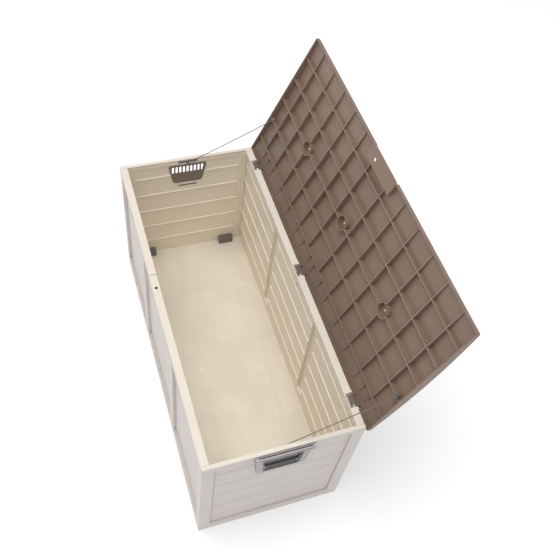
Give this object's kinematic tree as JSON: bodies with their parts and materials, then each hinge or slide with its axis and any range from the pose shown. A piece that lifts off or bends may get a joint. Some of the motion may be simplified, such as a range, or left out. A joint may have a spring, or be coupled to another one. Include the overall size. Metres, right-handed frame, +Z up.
{
  "type": "storage box",
  "caption": "Outdoor resin storage box with planked walls, moulded end handles and a ribbed hinged lid held open by wire stays.",
  "frame": {"origin": "on the ground, midway along the body and midway between its front and back frames", "axes": "+X along the box towards the end without wheels, +Y towards the hinged back, +Z up; the front faces -Y"},
  "size_m": [1.12, 0.6556, 0.9445],
  "materials": {
    "wall_resin": "semi-matt beige polypropylene with moulded wood grain on the planks",
    "floor_resin": "semi-matt sand polypropylene, lightly scuffed",
    "lid_resin": "semi-matt taupe brown polypropylene",
    "dark_resin": "satin dark grey-brown polypropylene",
    "grille_resin": "satin dark grey-brown polypropylene",
    "housing_resin": "satin dark grey polypropylene",
    "wheel_resin": "satin charcoal polypropylene",
    "steel": "plain zinc-plated steel",
    "stay_cable": "twisted steel wire"
  },
  "bodies": {
    "box": {"floor_panel": "floor_resin", "front_wall": "wall_resin", "back_wall": "wall_resin", "left_end_wall": "wall_resin", "right_end_wall": "wall_resin", "left_handle": "dark_resin", "right_handle": "dark_resin", "left_vent_grille": "grille_resin", "right_vent_grille": "grille_resin", "left_stay_hook": "dark_resin", "right_stay_hook": "dark_resin", "left_stay_wire": "stay_cable", "right_stay_wire": "stay_cable", "hinge_pin_left": "steel", "hinge_pin_middle": "steel", "hinge_pin_right": "steel", "wheel_housing_front": "housing_resin", "wheel_housing_back": "housing_resin", "wheel_axle_front": "steel", "wheel_axle_back": "steel"},
    "lid": {"lid": "lid_resin", "left_stay_clip": "dark_resin", "right_stay_clip": "dark_resin"},
    "front_wheel": {"wheel_front": "wheel_resin"},
    "back_wheel": {"wheel_back": "wheel_resin"}
  },
  "joints": [
    {"name": "lid_hinge", "type": "hinge", "parent": "box", "child": "lid", "pos_m": [0, 0.23, 0.5055], "axis": [1, 0, 0], "range_deg": [0, 112.5], "deforming": ["left_stay_wire", "right_stay_wire"]},
    {"name": "front_wheel_spin", "type": "hinge", "parent": "box", "child": "front_wheel", "pos_m": [-0.541, -0.154, 0.0205], "axis": [0, 1, 0], "continuous": true},
    {"name": "back_wheel_spin", "type": "hinge", "parent": "box", "child": "back_wheel", "pos_m": [-0.541, 0.154, 0.0205], "axis": [0, 1, 0], "continuous": true}
  ]
}
